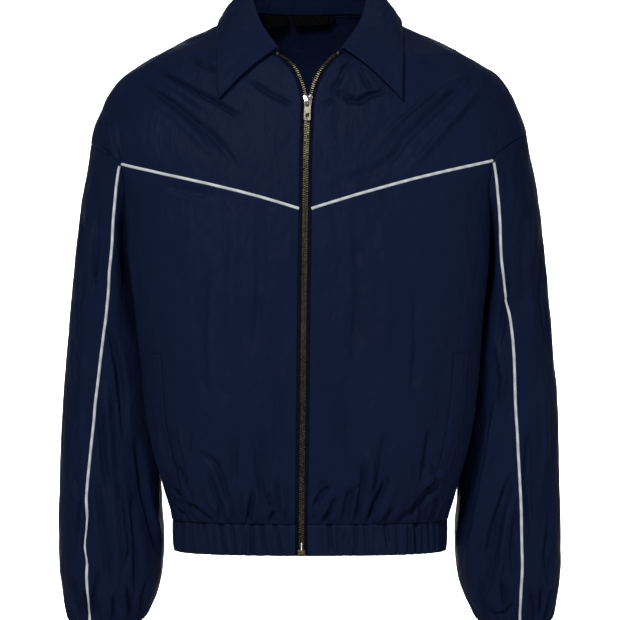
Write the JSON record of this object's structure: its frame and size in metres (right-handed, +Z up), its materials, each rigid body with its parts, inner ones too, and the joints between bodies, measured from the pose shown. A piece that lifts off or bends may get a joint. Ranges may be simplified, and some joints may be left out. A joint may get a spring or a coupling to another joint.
{
  "type": "windbreaker jacket",
  "caption": "Zip-front windbreaker with a piped yoke, pointed collar and gathered hem and cuffs, filled out as if worn and open at neck, hem and cuffs.",
  "frame": {"origin": "middle of the neck at the height of the shoulder seam's neck end, where the jacket hangs on a wearer", "axes": "+Z up along the body, the front with the zip faces -Y, +X is the wearer's left"},
  "size_m": [0.6059, 0.258, 0.801],
  "materials": {
    "navy_nylon": "crinkled nylon with a soft sheen",
    "gathered_nylon": "the same nylon, gathered over elastic",
    "pale_piping": "satin",
    "zip_tape": "matt woven tape",
    "black_label": "matt, blank",
    "zip_metal": "darkened, satin",
    "slider_metal": "polished"
  },
  "bodies": {
    "jacket": {"back": "navy_nylon", "collar": "navy_nylon", "cuff_left": "gathered_nylon", "cuff_right": "gathered_nylon", "front_left": "navy_nylon", "front_right": "navy_nylon", "hem_band": "gathered_nylon", "label_neck_left": "black_label", "label_neck_main": "black_label", "label_size": "black_label", "piping_sleeve_left": "pale_piping", "piping_sleeve_right": "pale_piping", "piping_yoke_left": "pale_piping", "piping_yoke_right": "pale_piping", "pocket_welt_left": "navy_nylon", "pocket_welt_right": "navy_nylon", "sleeve_back_left": "navy_nylon", "sleeve_back_right": "navy_nylon", "sleeve_front_left": "navy_nylon", "sleeve_front_right": "navy_nylon", "yoke_left": "navy_nylon", "yoke_right": "navy_nylon", "zip_box": "zip_metal", "zip_chain": "zip_metal", "zip_slider": "slider_metal", "zip_stop_left": "zip_metal", "zip_stop_right": "zip_metal", "zip_tape_left": "zip_tape", "zip_tape_right": "zip_tape", "zip_teeth_left": "zip_metal", "zip_teeth_right": "zip_metal"},
    "pull_tab": {"zip_pull_tab": "slider_metal"}
  },
  "joints": [
    {"name": "pull_tab_hinge", "type": "hinge", "parent": "jacket", "child": "pull_tab", "pos_m": [-0.00263, -0.11175, -0.11476], "axis": [-0.9993, 0.0161, 0.0326], "range_deg": [0, 130]}
  ]
}
